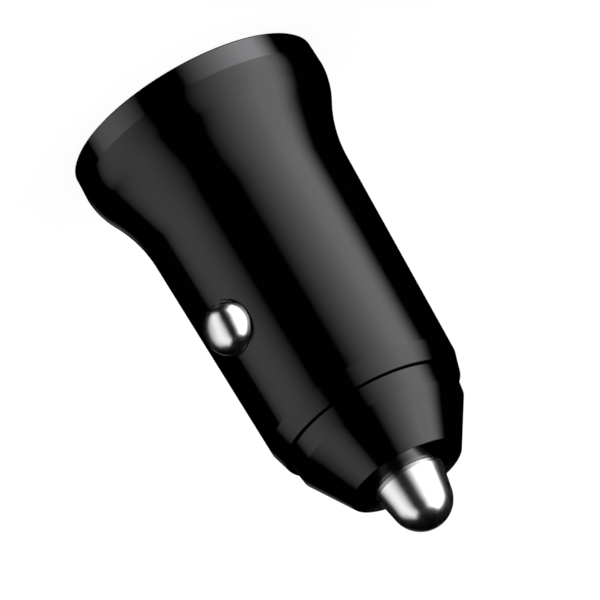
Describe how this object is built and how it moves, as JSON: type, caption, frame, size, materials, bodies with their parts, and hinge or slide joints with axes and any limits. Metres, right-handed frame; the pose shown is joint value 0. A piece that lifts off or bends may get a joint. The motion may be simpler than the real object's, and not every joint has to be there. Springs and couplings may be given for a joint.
{
  "type": "car usb charger plug",
  "caption": "Barrel-shaped car charger plug with a flared socket head, a stepped nose cap, a sprung centre contact and sprung domed side contacts.",
  "frame": {"origin": "centre of the rim that the plug stands on, at the socket end", "axes": "+Z along the plug from the socket end to the centre contact, +X towards the right side contact, +Y towards the light window"},
  "size_m": [0.0258, 0.0258, 0.0489],
  "materials": {
    "gloss_black": "gloss",
    "plate_black": "satin",
    "clear_plastic": "gloss",
    "bright_nickel": "polished",
    "spring_steel": "satin",
    "terminal_brass": "satin",
    "tin_plate": "satin",
    "holder_plastic": "matte",
    "board_laminate": "satin",
    "shell_steel": "satin",
    "tongue_plastic": "satin",
    "gold_plate": "polished",
    "led_body": "satin",
    "ferrite": "matte",
    "copper_winding": "gloss",
    "can_sleeve": "gloss",
    "can_metal": "satin",
    "chip_black": "matte",
    "fuse_ceramic": "satin",
    "resistor_black": "satin",
    "capacitor_tan": "satin"
  },
  "bodies": {
    "plug": {"housing": "gloss_black", "nose_cap": "gloss_black", "port_plate": "plate_black", "light_pipe": "clear_plastic", "centre_spring": "spring_steel", "right_side_spring": "spring_steel", "left_side_spring": "spring_steel", "positive_terminal": "terminal_brass", "right_ground_tab": "tin_plate", "left_ground_tab": "tin_plate", "front_holder": "holder_plastic", "main_board": "board_laminate", "right_usb_shell": "shell_steel", "left_usb_shell": "shell_steel", "right_usb_tongue": "tongue_plastic", "left_usb_tongue": "tongue_plastic", "right_usb_contacts": "gold_plate", "left_usb_contacts": "gold_plate", "indicator_led": "led_body", "inductor_core": "ferrite", "inductor_coil": "copper_winding", "input_capacitor": "can_sleeve", "output_capacitor": "can_metal", "converter_chip": "chip_black", "port_controller": "chip_black", "rectifier_diode": "chip_black", "board_fuse": "fuse_ceramic", "chip_resistors": "resistor_black", "chip_capacitors": "capacitor_tan"},
    "centre_contact": {"centre_contact": "bright_nickel"},
    "right_side_contact": {"right_side_contact": "bright_nickel"},
    "left_side_contact": {"left_side_contact": "bright_nickel"}
  },
  "joints": [
    {"name": "centre_contact_press", "type": "slide", "parent": "plug", "child": "centre_contact", "axis": [0, 0, -1], "range_m": [0, 0.002], "stiffness_N_per_m": 800, "springref_m": -0.003, "deforming": ["centre_spring"]},
    {"name": "right_contact_press", "type": "slide", "parent": "plug", "child": "right_side_contact", "axis": [-1, 0, 0], "range_m": [0, 0.002], "stiffness_N_per_m": 500, "springref_m": -0.0025, "deforming": ["right_side_spring"]},
    {"name": "left_contact_press", "type": "slide", "parent": "plug", "child": "left_side_contact", "axis": [1, 0, 0], "range_m": [0, 0.002], "stiffness_N_per_m": 500, "springref_m": -0.0025, "deforming": ["left_side_spring"]}
  ]
}
